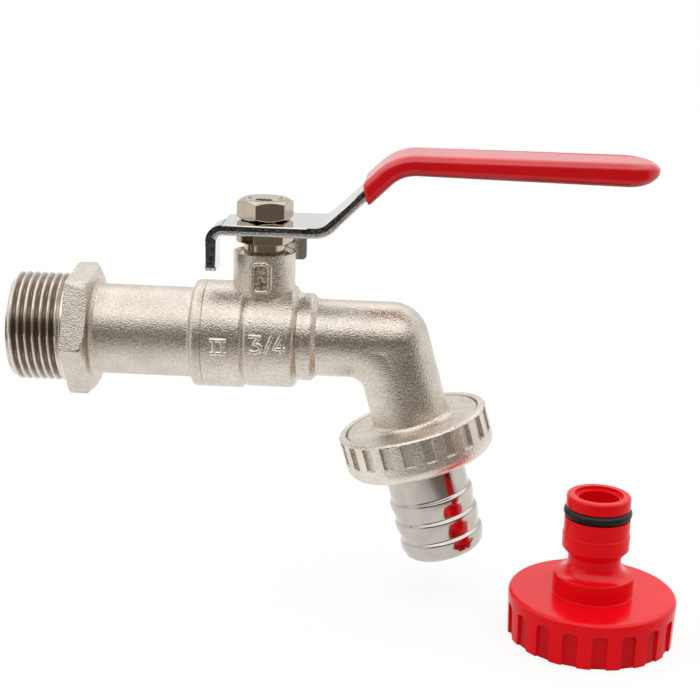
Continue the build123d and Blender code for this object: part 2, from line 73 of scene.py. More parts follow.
# Camera, worked out from the photograph's perspective
VIEW_AZIMUTH = math.radians(3.145)
VIEW_ELEVATION = math.radians(15.118)
VIEW_ROLL = math.radians(1.658)
VIEW_TARGET = Vector((67.81, 0, -2.9)) * MM
VIEW_DISTANCE = 370.88 * MM
VIEW_LENS = 78.36
VIEW_SENSOR = 36
VIEW_NEAR = 10 * MM

# Floor, and how it shows to the eye and in reflections
FLOOR_LEFT = -600 * MM
FLOOR_RIGHT = 800 * MM
FLOOR_FRONT = -120 * MM
FLOOR_BACK = 800 * MM
FLOOR_PALE = (0.70, 0.70, 0.70)
FLOOR_DARK = (0.68, 0.68, 0.68)
FLOOR_CLOUD_SCALE = 6
# next two: painted fall-off of light that dims the floor's glow in reflections towards its front edge
FLOOR_FADE = 100 * MM
FLOOR_PAINTED_FALLOFF_LEVEL = 0.5
FLOOR_GLOW = 1.08
FLOOR_GLOW_SHARE = 0.8

# Room that lights the object: spans in degrees of height and of turn from the camera, and levels
DARK_FOOT = (-34, -12)
DARK_TOP = (22, 36)
DARK_LEFT = (-58, -34)
DARK_RIGHT = (64, 92)
DARK_LEVEL = 0.2
DARK_TINT = (1.0, 0.88, 0.77)
WALL_TOP = (28, 42)
WALL_LEVEL = 0.85
CEILING_LEVEL = 1.5
ZENITH = (55, 80)
ZENITH_SHARE = 0.75
WHITE = (1.0, 1.0, 1.0)
BLACK = (0.0, 0.0, 0.0)

# Finishes: noise scales per metre, spans of noise that are used, and shares
GRAIN_SCALE = 2600
COARSE_GRAIN = 1500
GRAIN_DEPTH = 0.115 * MM
GRAIN_SHARE = 0.7
BLOTCH_SCALE = 160
MOTTLE_SPAN = (0.34, 0.66)
BLAST_SPAN = (0.25, 0.75)
BLAST_SMOOTHER = 0.05
BLAST_ROUGHER = 0.07
STAIN_SCALE = 220
STAIN_SPAN = (0.35, 0.7)
STAIN_SMOOTHER = 0.75
STAIN_ROUGHER = 1.35
FLOW_SCALE = 90
SKIN_SPAN = (0.3, 0.7)
SKIN_SMOOTHER = 0.8
SKIN_ROUGHER = 1.25
RELIEF_STRENGTH = 0.5
NOISE_SHARPNESS = 0.6
UPWARD = (0.1, 0.6)
# normal heights over which faces that look down take painted shade
UNDERSIDE_SHADE_SPAN = (-0.9, -0.4)

# Inlet pipe thread, 14 to the inch
THREAD_RADIUS = mounts["inlet_thread"]["dims"]["r_mm"] * MM
THREAD_PITCH = 25.4 / 14 * MM
THREAD_DEPTH = 1.0 * MM
THREAD_CHAMFER = 1.0 * MM
THREAD_LEAD = 1.0 * MM
THREAD_TURN = 0.25
THREAD_RUNOUT = 1.6 * MM
THREAD_FADE = 0.9 * MM
THREAD_PLAIN = 1.4 * MM
THREAD_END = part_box("inlet_connector")[0].x
THREAD_BORE = 7.5 * MM
THREAD_STUB = 0.02 * MM
THREAD_SEGMENTS = 168
THREAD_ROWS = 14
THREAD_WEAR = 0.25 * THREAD_DEPTH
THREAD_WEAR_SCALE = 700
# next two: depths below the crest between which the valleys' painted shade, with their higher roughness,
# gives way to the crest colour
THREAD_SHADE_DEPTH = 0.8 * THREAD_DEPTH
THREAD_BRIGHT = 0.12 * THREAD_DEPTH
THREAD_VALLEY_ROUGHER = 1.5
THREAD_SCRATCH_SCALE = 2600
THREAD_SCRATCH_DEPTH = 0.01 * MM

# Raised size mark and bars on the body
MARK_STROKE = 0.62 * MM
MARK_SINK = 0.16 * MM
MARK_STEPS = 10
MARK_ROUNDNESS = 3
BAR_STEPS = 6
BAR_TOP = 1.5
BAR_FOOT = -1.7
MIDDLE_RADIUS = 12.5 * MM
ENTRY_RADIUS = 13.0 * MM

# Badge on the neck
NECK_RADIUS = 7.47 * MM
BADGE_MIDDLE = 15.67 * MM
BADGE_WIDTH = 4.0 * MM
BADGE_HEIGHT = 6.8 * MM
BADGE_ROUND = 1.1 * MM
BADGE_RIM = 0.75 * MM
BADGE_FOOT = 6.8 * MM
BADGE_RISE = 1.35 * MM
BADGE_FIELD_PROUD = 0.1 * MM
BADGE_STEPS = 8
BADGE_ROWS = 10
BADGE_FLATNESS = 0.7

# Lever strip and its sleeve
LEVER_EDGE = 0.3 * MM
LEVER_EDGE_STEPS = 2
LEVER_UNDER_EDGE = 1.15 * MM
LEVER_UNDER_STEPS = 6
LEVER_UNDER_PROFILE = 0.8
LEVER_HOLE = 5.0 * MM
LEVER_FRONT = -7.0 * MM
LEVER_SHORT = 0.8 * MM
SLEEVE_LIP = 0.9 * MM
SLEEVE_LIP_STEPS = 4
SLEEVE_START = 6.0 * MM
CRANK_ANGLE = math.radians(44.5)
NOSE_LENGTH = 8.5 * MM
NOSE_RISE = 2.7 * MM
NOSE_FALL = 1.5 * MM

# Rounded edges, and radii between which the groove floors of the two grip rings lie, which take painted shade
PIECE_EDGES = {
    "hose_tail": 0.3 * MM, "union_nut": 0.2 * MM, "click_adapter": 0.14 * MM,
    "gland_nut": 0.12 * MM, "lever_nut": 0.15 * MM,
}
PIECE_EDGE_STEPS = 3
NUT_GROOVE_SHADE_SPAN = (17.3 * MM, 18.0 * MM)
ADAPTER_GROOVE_SHADE_SPAN = (18.4 * MM, 18.95 * MM)
EDGE_ANGLE = math.radians(32)
FLAT_ANGLE = math.radians(0.6)
JOIN_ANGLE = math.radians(8)
JOIN_SHAPE = math.radians(70)
WELD_DISTANCE = 0.001 * MM

# Places of single materials in a piece's list
BRIGHT_FACE = 0
SHEARED_FACE = 1
# the lever's front side, near black as painted shade
FRONT_SHADE_FACE = 2
THREAD_FACE = 1
# floors of grip-ring grooves: a darker material, painted shade
GROOVE_SHADE_FACE = 1

# How far a face's normal points along a direction: squarely, mostly, or a little
SQUARELY = 0.9
MOSTLY = 0.7
A_LITTLE = 0.3


def new_shader(name):
    """Material with its node tree and its Principled shader."""
    material = bpy.data.materials.new(name)
    material.use_nodes = True
    tree = material.node_tree
    return material, tree, tree.nodes["Principled BSDF"]


def new_metal(name):
    """Material whose shader is a bare metal."""
    material, tree, shader = new_shader(name)
    shader.inputs["Metallic"].default_value = 1.0
    return material, tree, shader


def add_noise(tree, scale, detail, roughness=0.5):
    """Noise over the object's own coordinates."""
    coordinates = tree.nodes.new("ShaderNodeTexCoord")
    noise = tree.nodes.new("ShaderNodeTexNoise")
    noise.inputs["Scale"].default_value = scale
    noise.inputs["Detail"].default_value = detail
    noise.inputs["Roughness"].default_value = roughness
    tree.links.new(coordinates.outputs["Object"], noise.inputs["Vector"])
    return noise.outputs["Fac"]


def add_split(tree, vector):
    """X, Y and Z outputs of a vector."""
    split = tree.nodes.new("ShaderNodeSeparateXYZ")
    tree.links.new(vector, split.inputs["Vector"])
    return split.outputs


def add_range(tree, value, low, high, to_low, to_high, smooth=False):
    """Value mapped from one range to another and held at its ends."""
    node = tree.nodes.new("ShaderNodeMapRange")
    if smooth:
        node.interpolation_type = "SMOOTHSTEP"
    node.inputs["From Min"].default_value = low
    node.inputs["From Max"].default_value = high
    node.inputs["To Min"].default_value = to_low
    node.inputs["To Max"].default_value = to_high
    tree.links.new(value, node.inputs["Value"])
    return node.outputs["Result"]


def add_fade(tree, angle, degrees, to_low, to_high):
    """Level that changes smoothly over a span of an angle, the span in degrees."""
    low, high = (math.radians(degree) for degree in degrees)
    return add_range(tree, angle, low, high, to_low, to_high, True)


def add_math(tree, operation, first, second=None):
    """Math node on one or two values, each a socket or a number."""
    node = tree.nodes.new("ShaderNodeMath")
    node.operation = operation
    for index, value in enumerate((first, second)):
        if value is None:
            continue
        if isinstance(value, (int, float)):
            node.inputs[index].default_value = value
        else:
            tree.links.new(value, node.inputs[index])
    return node.outputs["Value"]


def add_mix(tree, factor, first, second):
    """Colour mixed between two colours."""
    node = tree.nodes.new("ShaderNodeMix")
    node.data_type = "RGBA"
    for socket, value in ((node.inputs[6], first), (node.inputs[7], second)):
        if isinstance(value, tuple):
            socket.default_value = (*value, 1)
        else:
            tree.links.new(value, socket)
    tree.links.new(factor, node.inputs["Factor"])
    return node.outputs[2]


def add_bump(tree, shader, height, depth, strength=RELIEF_STRENGTH):
    """Bump on the shader's normal."""
    bump = tree.nodes.new("ShaderNodeBump")
    bump.inputs["Strength"].default_value = strength
    bump.inputs["Distance"].default_value = depth
    tree.links.new(height, bump.inputs["Height"])
    tree.links.new(bump.outputs["Normal"], shader.inputs["Normal"])


def blasted_metal(name, pale, dark, rough, grain_scale=GRAIN_SCALE):
    """Shot-blasted plate: fine grain that sparkles, soft blotches and uneven gloss."""
    material, tree, shader = new_metal(name)
    blotch = add_noise(tree, BLOTCH_SCALE, detail=3)
    grain = add_noise(tree, grain_scale, detail=1, roughness=NOISE_SHARPNESS)
    blotch_part = add_math(tree, "MULTIPLY", blotch, 1 - GRAIN_SHARE)
    grain_part = add_math(tree, "MULTIPLY", grain, GRAIN_SHARE)
    mottle = add_range(tree, add_math(tree, "ADD", blotch_part, grain_part), *MOTTLE_SPAN, 0, 1)
    gloss = add_range(tree, grain, *BLAST_SPAN, rough - BLAST_SMOOTHER, rough + BLAST_ROUGHER)
    tree.links.new(add_mix(tree, mottle, dark, pale), shader.inputs["Base Color"])
    tree.links.new(gloss, shader.inputs["Roughness"])
    add_bump(tree, shader, grain, GRAIN_DEPTH, strength=1.0)
    return material


def bright_metal(name, pale, dark, rough, scratch_scale, scratch_depth):
    """Polished or turned plate with faint stains and fine scratches."""
    material, tree, shader = new_metal(name)
    stain = add_noise(tree, STAIN_SCALE, detail=4)
    scratch = add_noise(tree, scratch_scale, detail=3, roughness=NOISE_SHARPNESS)
    tone = add_mix(tree, add_range(tree, stain, *STAIN_SPAN, 0, 1), pale, dark)
    gloss = add_range(tree, stain, *SKIN_SPAN, rough * STAIN_SMOOTHER, rough * STAIN_ROUGHER)
    tree.links.new(tone, shader.inputs["Base Color"])
    tree.links.new(gloss, shader.inputs["Roughness"])
    add_bump(tree, shader, scratch, scratch_depth)
    return material


def thread_metal(name, crest, valley, rough):
    """Cut pipe thread about the X axis: bright on its crests and plain end, dull and dark brown in its
    valleys, the dark colour a painted shade.
    """
    material, tree, shader = new_metal(name)
    place = add_split(tree, tree.nodes.new("ShaderNodeTexCoord").outputs["Object"])
    across = add_math(tree, "MULTIPLY", place["Y"], place["Y"])
    upright = add_math(tree, "MULTIPLY", place["Z"], place["Z"])
    radius = add_math(tree, "SQRT", add_math(tree, "ADD", across, upright))
    worn = add_math(tree, "MULTIPLY", add_noise(tree, THREAD_WEAR_SCALE, detail=3), THREAD_WEAR)
    height = add_math(tree, "SUBTRACT", radius, worn)
    raised = add_range(tree, height, THREAD_RADIUS - THREAD_SHADE_DEPTH, THREAD_RADIUS - THREAD_BRIGHT, 0, 1, True)
    plain_end = THREAD_END + THREAD_PLAIN
    plain = add_range(tree, place["X"], plain_end - THREAD_FADE / 2, plain_end, 1, 0, True)
    share = add_math(tree, "MAXIMUM", raised, plain)
    gloss = add_range(tree, share, 0, 1, rough * THREAD_VALLEY_ROUGHER, rough)
    # valley colour: painted shade in the thread's valleys
    tree.links.new(add_mix(tree, share, valley, crest), shader.inputs["Base Color"])
    tree.links.new(gloss, shader.inputs["Roughness"])
    add_bump(tree, shader, add_noise(tree, THREAD_SCRATCH_SCALE, detail=2), THREAD_SCRATCH_DEPTH)
    return material


def glossy_polymer(name, pale, dark, rough, grain_scale, grain_depth, shine=0.36, side_shine=0.1, under=1.0):
    """Coloured polymer with flow marks and an uneven skin.

    Its sides shine less than its top. What looks down is darkened towards black as painted shade, keeping the
    share under of its colour.
    """
    material, tree, shader = new_shader(name)
    flow = add_noise(tree, FLOW_SCALE, detail=3)
    grain = add_noise(tree, grain_scale, detail=2)
    tone = add_mix(tree, add_range(tree, flow, *SKIN_SPAN, 0, 1), dark, pale)
    facing = add_split(tree, tree.nodes.new("ShaderNodeNewGeometry").outputs["Normal"])
    # painted shade: faces that look down are mixed towards black
    painted_underside_shade = add_range(tree, facing["Z"], *UNDERSIDE_SHADE_SPAN, 1 - under, 0, True)
    gloss = add_range(tree, grain, *SKIN_SPAN, rough * SKIN_SMOOTHER, rough * SKIN_ROUGHER)
    level = add_range(tree, facing["Z"], *UPWARD, side_shine, shine, True)
    tree.links.new(add_mix(tree, painted_underside_shade, tone, BLACK), shader.inputs["Base Color"])
    tree.links.new(gloss, shader.inputs["Roughness"])
    tree.links.new(level, shader.inputs["Specular IOR Level"])
    add_bump(tree, shader, grain, grain_depth)
    return material


# Materials of the record's slots
blasted_nickel = blasted_metal("blasted_nickel", (0.86, 0.795, 0.71), (0.54, 0.48, 0.41), rough=0.275)
materials = {
    "blasted_nickel": blasted_nickel,
    "polished_nickel": bright_metal(
        "polished_nickel", (0.56, 0.475, 0.375), (0.48, 0.405, 0.315),
        rough=0.14, scratch_scale=1500, scratch_depth=0.01 * MM,
    ),
    "chrome_tail": bright_metal(
        "chrome_tail", (0.57, 0.53, 0.48), (0.49, 0.455, 0.41),
        rough=0.12, scratch_scale=400, scratch_depth=0.002 * MM,
    ),
    "chrome_steel": bright_metal(
        "chrome_steel", (0.76, 0.765, 0.77), (0.69, 0.695, 0.70),
        rough=0.1, scratch_scale=700, scratch_depth=0.004 * MM,
    ),
    # red_dip: its undersides keep 0.3 of their colour, the rest is painted shade
    "red_dip": glossy_polymer(
        "red_dip", (0.76, 0.004, 0.010), (0.68, 0.003, 0.008),
        rough=0.13, grain_scale=300, grain_depth=0.012 * MM, shine=1.0, side_shine=0.4, under=0.3,
    ),
    "red_plastic": glossy_polymer(
        "red_plastic", (0.90, 0.004, 0.010), (0.82, 0.003, 0.008),
        rough=0.17, grain_scale=700, grain_depth=0.010 * MM,
    ),
    "black_rubber": glossy_polymer(
        "black_rubber", (0.022, 0.022, 0.024), (0.012, 0.012, 0.013),
        rough=0.38, grain_scale=1200, grain_depth=0.02 * MM,
    ),
    "white_seal": glossy_polymer(
        "white_seal", (0.84, 0.84, 0.81), (0.78, 0.78, 0.75),
        rough=0.4, grain_scale=900, grain_depth=0.01 * MM,
    ),
}

# Materials of single faces and small pieces
tube_nickel = blasted_metal("tube_nickel", (0.82, 0.755, 0.675), (0.54, 0.48, 0.41), rough=0.34)
# second colour: painted shade for the thread valleys
turned_nickel = thread_metal("turned_nickel", (0.78, 0.72, 0.64), (0.31, 0.255, 0.21), rough=0.2)
sheared_edge = blasted_metal("sheared_edge", (0.92, 0.92, 0.92), (0.40, 0.40, 0.40), rough=0.28)
# the lever's front side: near-black metal, painted shade
painted_front_shade = blasted_metal("painted_front_shade", (0.24, 0.24, 0.245), (0.05, 0.05, 0.052), 0.2, COARSE_GRAIN)
nut_nickel = blasted_metal("nut_nickel", (0.92, 0.85, 0.76), (0.62, 0.56, 0.48), rough=0.29)
# groove floors: darker nickel and red than the rest of their pieces, painted shade in the grooves
groove_shade_nickel = blasted_metal("groove_shade_nickel", (0.76, 0.69, 0.60), (0.46, 0.41, 0.345), rough=0.33)
groove_shade_red = glossy_polymer(
    "groove_shade_red", (0.68, 0.003, 0.008), (0.58, 0.002, 0.006),
    rough=0.24, grain_scale=700, grain_depth=0.015 * MM,
)
# raised marks: paler nickel than the body, a painted highlight
mark_highlight_nickel = blasted_metal("mark_highlight_nickel", (0.96, 0.91, 0.83), (0.66, 0.60, 0.52), rough=0.24)
badge_brass = blasted_metal("badge_brass", (0.95, 0.80, 0.64), (0.22, 0.16, 0.11), 0.5, COARSE_GRAIN)


def dress_cad_nodes():
    """Each CAD node gets the material of its slot."""
    for name, node in nodes.items():
        node.data.materials.clear()
        node.data.materials.append(materials[slot_of_node[name]])


def copy_node(node):
    """Copy of a CAD node's mesh, its split vertices joined and its flat faces merged, ready for bevels."""
    mesh = bmesh.new()
    mesh.from_mesh(nodes[node].data)
    bmesh.ops.remove_doubles(mesh, verts=mesh.verts, dist=WELD_DISTANCE)
    bmesh.ops.dissolve_limit(mesh, angle_limit=FLAT_ANGLE, verts=mesh.verts, edges=mesh.edges)
    return mesh


def sharp_edges(mesh):
    """Edges between two faces that meet at a clear angle."""
    return [edge for edge in mesh.edges if len(edge.link_faces) == 2 and edge.calc_face_angle() > EDGE_ANGLE]


def round_edges(mesh, edges, width, segments, profile=0.5):
    """Rounds edges of a mesh, in a quarter circle or, with a higher profile, nearer to the corner."""
    done = bmesh.ops.bevel(mesh, geom=edges, offset=width, segments=segments, profile=profile, affect="EDGES")
    return done["faces"]


def edge_middle(edge):
    """Point halfway along an edge."""
    return (edge.verts[0].co + edge.verts[1].co) / 2


def make_piece(name, mesh, piece_materials):
    """Object from a bmesh, smooth except at its sharp edges."""
    data = bpy.data.meshes.new(name)
    mesh.to_mesh(data)
    mesh.free()
    for material in piece_materials:
        data.materials.append(material)
    data.shade_smooth()
    data.set_sharp_from_angle(angle=EDGE_ANGLE)
    piece = bpy.data.objects.new(name, data)
    bpy.context.scene.collection.objects.link(piece)
    weighted = piece.modifiers.new("weighted_normals", "WEIGHTED_NORMAL")
    weighted.keep_sharp = True
    return piece


def stand_for(piece, node):
    """The piece takes the node's place and body, and the node is hidden."""
    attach(piece, body_of_node[node])
    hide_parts(node)


def thread_radius(x, angle, start):
    """Radius of the rounded right-hand thread, chamfered at its start and running out at the hexagon."""
    phase = ((x - start + THREAD_LEAD) / THREAD_PITCH - angle / (2 * math.pi) + THREAD_TURN) % 1
    rise = abs(2 * phase - 1)
    rounded = rise * rise * (3 - 2 * rise)
    fade = min(1, max(0, (THREAD_FADE - THREAD_RUNOUT - x) / THREAD_FADE))
    groove = THREAD_DEPTH * fade * (1 - (rise + rounded) / 2)
    chamfer = THREAD_RADIUS - THREAD_CHAMFER + (x - start)
    return min(THREAD_RADIUS - groove, chamfer)


def add_thread(mesh, start):
    """Closed threaded shell from the pipe end to the hexagon, with the bore through it."""
    count = round(-start / THREAD_PITCH * THREAD_ROWS)
    stations = [start + (-THREAD_STUB - start) * row / count for row in range(count + 1)]
    angles = [2 * math.pi * index / THREAD_SEGMENTS for index in range(THREAD_SEGMENTS)]
    profiles = [(x, [thread_radius(x, angle, start) for angle in angles]) for x in stations]
    profiles += [(x, [THREAD_BORE] * THREAD_SEGMENTS) for x in (stations[-1], stations[0])]
    rings = []
    for x, radii in profiles:
        rings.append([mesh.verts.new((x, r * math.cos(a), r * math.sin(a))) for r, a in zip(radii, angles)])
    for low, high in zip(rings, rings[1:] + rings[:1]):
        for index in range(THREAD_SEGMENTS):
            after = (index + 1) % THREAD_SEGMENTS
            face = mesh.faces.new((low[index], high[index], high[after], low[after]))
            face.material_index = THREAD_FACE


def make_inlet():
    """Inlet connector whose end has a helical thread in place of the CAD's rings."""
    mesh = copy_node("inlet_connector")
    geometry = mesh.verts[:] + mesh.edges[:] + mesh.faces[:]
    cut = bmesh.ops.bisect_plane(
        mesh, geom=geometry, plane_co=(-THREAD_STUB, 0, 0), plane_no=(-1, 0, 0), clear_outer=True
    )
    rim = [item for item in cut["geom_cut"] if isinstance(item, bmesh.types.BMEdge)]
    bmesh.ops.edgeloop_fill(mesh, edges=rim)
    add_thread(mesh, THREAD_END)
    bmesh.ops.recalc_face_normals(mesh, faces=mesh.faces)
    piece = make_piece("inlet_with_thread", mesh, [tube_nickel, turned_nickel])
    stand_for(piece, "inlet_connector")


def is_under_edge(edge):
    """True for a convex edge between the strip's front side and a face that looks down."""
    normals = [face.normal for face in edge.link_faces]
    ahead = max(vertex.co.y for vertex in edge.verts) < LEVER_FRONT
    on_front = min(normal.y for normal in normals) < -MOSTLY
    off_back = max(normal.y for normal in normals) < A_LITTLE
    looks_down = min(normal.z for normal in normals) < -A_LITTLE
    return ahead and edge.is_convex and on_front and off_back and looks_down


def is_outer_edge(edge):
    """True for a convex edge that isn't short and isn't at the hole that the stem goes through."""
    middle = edge_middle(edge)
    at_hole = math.hypot(middle.x - STEM_X, middle.y) < LEVER_HOLE
    return edge.is_convex and not at_hole and edge.calc_length() > LEVER_SHORT


def make_lever():
    """Lever strip: bright faces, a cut side in front painted near black as shade, soft rough edges below
    where it was sheared.
    """
    mesh = copy_node("lever")
    # faces that look to the front take the painted shade
    for face in mesh.faces:
        if face.normal.y < -MOSTLY and face.calc_center_median().y < 0:
            face.material_index = FRONT_SHADE_FACE
    under = [edge for edge in sharp_edges(mesh) if is_under_edge(edge)]
    for face in round_edges(mesh, under, LEVER_UNDER_EDGE, LEVER_UNDER_STEPS, LEVER_UNDER_PROFILE):
        face.material_index = SHEARED_FACE
    outer = [edge for edge in sharp_edges(mesh) if is_outer_edge(edge)]
    for face in round_edges(mesh, outer, LEVER_EDGE, LEVER_EDGE_STEPS):
        face.material_index = BRIGHT_FACE
    piece = make_piece("lever_strip", mesh, [materials["chrome_steel"], sheared_edge, painted_front_shade])
    stand_for(piece, "lever")


def lip_edges(mesh, start):
    """Outer edges of the sleeve's cut end on the crank."""
    down = Vector((-math.cos(CRANK_ANGLE), 0, -math.sin(CRANK_ANGLE)))
    ends = [face for face in mesh.faces if face.normal.dot(down) > MOSTLY]
    cut = [face for face in ends if face.calc_center_median().x < start]
    middle = sum((face.calc_center_median() for face in cut), Vector()) / len(cut)
    edges = []
    for face in cut:
        for edge in face.edges:
            other = [side for side in edge.link_faces if side not in cut]
            if other and other[0].normal.dot(edge_middle(edge) - middle) > 0:
                edges.append(edge)
    return edges


def make_sleeve():
    """Dipped sleeve with a soft lip at its start and a drooping nose."""
    mesh = copy_node("lever_sleeve")
    start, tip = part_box("lever_sleeve")
    round_edges(mesh, lip_edges(mesh, start.x + SLEEVE_START), SLEEVE_LIP, SLEEVE_LIP_STEPS)
    nose = [vertex for vertex in mesh.verts if vertex.co.x > tip.x - NOSE_LENGTH]
    bottom = min(vertex.co.z for vertex in nose)
    for vertex in nose:
        reach = (vertex.co.x - tip.x + NOSE_LENGTH) / NOSE_LENGTH
        swell = 1 - math.sqrt(max(0, 1 - reach * reach))
        share = (vertex.co.z - bottom) / (tip.z - bottom)
        vertex.co.z += swell * (NOSE_RISE * (1 - share) - NOSE_FALL * share)
    piece = make_piece("sleeve_dipped", mesh, [materials["red_dip"]])
    stand_for(piece, "lever_sleeve")


def paint_groove_shade(mesh, ring, span):
    """Gives the floors of a grip ring's grooves the second material, a darker one that is painted shade, from
    the ring's place and axis.
    """
    origin = Vector(ring["pos_m"])
    axis = Vector(ring["axis"])
    for face in mesh.faces:
        offset = face.calc_center_median() - origin
        radial = offset - axis * offset.dot(axis)
        if span[0] < radial.length < span[1] and face.normal.dot(radial.normalized()) > SQUARELY:
            face.material_index = GROOVE_SHADE_FACE


def make_rounded_pieces():
    """Pieces whose edges catch the light: copies of their nodes with the edges rounded."""
    for node, width in PIECE_EDGES.items():
        mesh = copy_node(node)
        bmesh.ops.join_triangles(
            mesh, faces=mesh.faces, angle_face_threshold=JOIN_ANGLE, angle_shape_threshold=JOIN_SHAPE
        )
        round_edges(mesh, sharp_edges(mesh), width, PIECE_EDGE_STEPS)
        piece_materials = [materials[slot_of_node[node]]]
        # the groove floors of the nut and the adapter take painted shade
        if node == "union_nut":
            paint_groove_shade(mesh, joints["nut_spin"], NUT_GROOVE_SHADE_SPAN)
            piece_materials = [nut_nickel, groove_shade_nickel]
        if node == "click_adapter":
            paint_groove_shade(mesh, mounts["adapter_thread"], ADAPTER_GROOVE_SHADE_SPAN)
            piece_materials.append(groove_shade_red)
        piece = make_piece(f"{node}_rounded", mesh, piece_materials)
        stand_for(piece, node)


def on_body(x, z, radius):
    """Point on the front of the round body, sunk a little, from millimetres beside the stem axis."""
    return Vector((STEM_X + x * MM, -math.sqrt((radius - MARK_SINK) ** 2 - (z * MM) ** 2), z * MM))


def make_strokes(name, strokes, radius, steps):
    """Raised strokes on the front of the body, each a list of (x, z) corners in millimetres."""
    curve = bpy.data.curves.new(name, "CURVE")
    curve.dimensions = "3D"
    curve.bevel_depth = MARK_STROKE
    curve.bevel_resolution = MARK_ROUNDNESS
    curve.use_fill_caps = True
    for stroke in strokes:
        points = []
        for start, end in zip(stroke, stroke[1:]):
            for step in range(steps):
                share = step / steps
                x = start[0] + (end[0] - start[0]) * share
                z = start[1] + (end[1] - start[1]) * share
                points.append(on_body(x, z, radius))
        points.append(on_body(*stroke[-1], radius))
        spline = curve.splines.new("POLY")
        spline.points.add(len(points) - 1)
        for target, point in zip(spline.points, points):
            target.co = (*point, 1)
    # the strokes take the paler nickel, a painted highlight
    curve.materials.append(mark_highlight_nickel)
    piece = bpy.data.objects.new(name, curve)
    bpy.context.scene.collection.objects.link(piece)
    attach(piece, "tap_body")


def make_marks():
    """Generic pipe size, three quarters, and a two made of two bars between two lines."""
    three_top = [(-2.2, 2.6), (0.6, 2.6), (-0.9, 0.9)]
    three_bowl = [(0.2, 0.7), (0.75, 0.0), (0.5, -0.8), (-0.5, -1.2), (-2.0, -1.0)]
    slash = [(1.6, -1.5), (3.3, 2.7)]
    four_hook = [(5.3, 2.6), (3.9, -0.1), (6.6, -0.1)]
    four_stem = [(5.7, 1.2), (5.7, -1.3)]
    size = [three_top + three_bowl, slash, four_hook, four_stem]
    make_strokes("size_mark", size, MIDDLE_RADIUS, MARK_STEPS)
    top = [(-11.4, BAR_TOP), (-7.4, BAR_TOP)]
    foot = [(-11.2, BAR_FOOT), (-7.4, BAR_FOOT)]
    bars = [[(x, BAR_TOP), (x, BAR_FOOT)] for x in (-10.3, -8.3)]
    make_strokes("bar_mark", [top, foot, *bars], ENTRY_RADIUS, BAR_STEPS)


def badge_outline(grow):
    """Rounded rectangle round the badge, grown on every side, as (x, z) points from its middle."""
    points = []
    rounding = BADGE_ROUND + grow
    for side_x, side_z, first in ((1, 1, 0), (-1, 1, 90), (-1, -1, 180), (1, -1, 270)):
        centre_x = side_x * (BADGE_WIDTH / 2 - BADGE_ROUND)
        centre_z = side_z * (BADGE_HEIGHT / 2 - BADGE_ROUND)
        for step in range(BADGE_STEPS + 1):
            angle = math.radians(first + 90 * step / BADGE_STEPS)
            points.append((centre_x + rounding * math.cos(angle), centre_z + rounding * math.sin(angle)))
    return points


def join_loops(mesh, low, high):
    """Band of faces between two closed loops of vertices."""
    for index in range(len(low)):
        after = (index + 1) % len(low)
        mesh.faces.new((low[index], low[after], high[after], high[index]))


def make_badge_rim():
    """Soft round rim over the badge's frame."""
    mesh = bmesh.new()
    rows = []
    for row in range(BADGE_ROWS + 1):
        angle = math.pi * row / BADGE_ROWS
        face = BADGE_FOOT + BADGE_RISE * math.sin(angle) ** BADGE_FLATNESS
        outline = badge_outline(BADGE_RIM * math.cos(angle))
        rows.append([mesh.verts.new((STEM_X + x, -face, BADGE_MIDDLE + z)) for x, z in outline])
    for low, high in zip(rows, rows[1:] + rows[:1]):
        join_loops(mesh, low, high)
    bmesh.ops.recalc_face_normals(mesh, faces=mesh.faces)
    return make_piece("badge_rim", mesh, [blasted_nickel])


def on_neck(x, z):
    """Point on the front of the neck, from the badge's middle."""
    return Vector((STEM_X + x, -math.sqrt(NECK_RADIUS ** 2 - x * x), BADGE_MIDDLE + z))


def make_badge_field():
    """Thin plate inside the badge's frame that follows the neck."""
    mesh = bmesh.new()
    outline = badge_outline(0)
    count = len(outline)
    lift = Vector((0, -BADGE_FIELD_PROUD, 0))
    front = [mesh.verts.new(on_neck(x, z) + lift) for x, z in outline]
    back = [mesh.verts.new(on_neck(x, z) - lift) for x, z in outline]
    join_loops(mesh, front, back)
    for ring in (front, back):
        for step in range(count // 2 - 1):
            corners = (ring[step], ring[step + 1], ring[count - 2 - step], ring[count - 1 - step])
            mesh.faces.new(corners)
    bmesh.ops.recalc_face_normals(mesh, faces=mesh.faces)
    return make_piece("badge_field", mesh, [badge_brass])


def make_badge():
    """Raised rim round a bare, rough field on the neck."""
    for piece in (make_badge_rim(), make_badge_field()):
        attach(piece, "tap_body")


def make_camera():
    """Camera at the photograph's place."""
    back = Vector((
        math.sin(VIEW_AZIMUTH) * math.cos(VIEW_ELEVATION),
        -math.cos(VIEW_AZIMUTH) * math.cos(VIEW_ELEVATION),
        math.sin(VIEW_ELEVATION),
    ))
    level = Vector((math.cos(VIEW_AZIMUTH), math.sin(VIEW_AZIMUTH), 0))
    upright = back.cross(level)
    right = math.cos(VIEW_ROLL) * level + math.sin(VIEW_ROLL) * upright
    up = math.cos(VIEW_ROLL) * upright - math.sin(VIEW_ROLL) * level
    data = bpy.data.cameras.new("photo_camera")
    data.lens = VIEW_LENS
    data.sensor_width = VIEW_SENSOR
    data.clip_start = VIEW_NEAR
    camera = bpy.data.objects.new("photo_camera", data)
    turn = Matrix((right, up, back)).transposed().to_4x4()
    camera.matrix_world = Matrix.Translation(VIEW_TARGET + VIEW_DISTANCE * back) @ turn
    bpy.context.scene.collection.objects.link(camera)
    bpy.context.scene.camera = camera


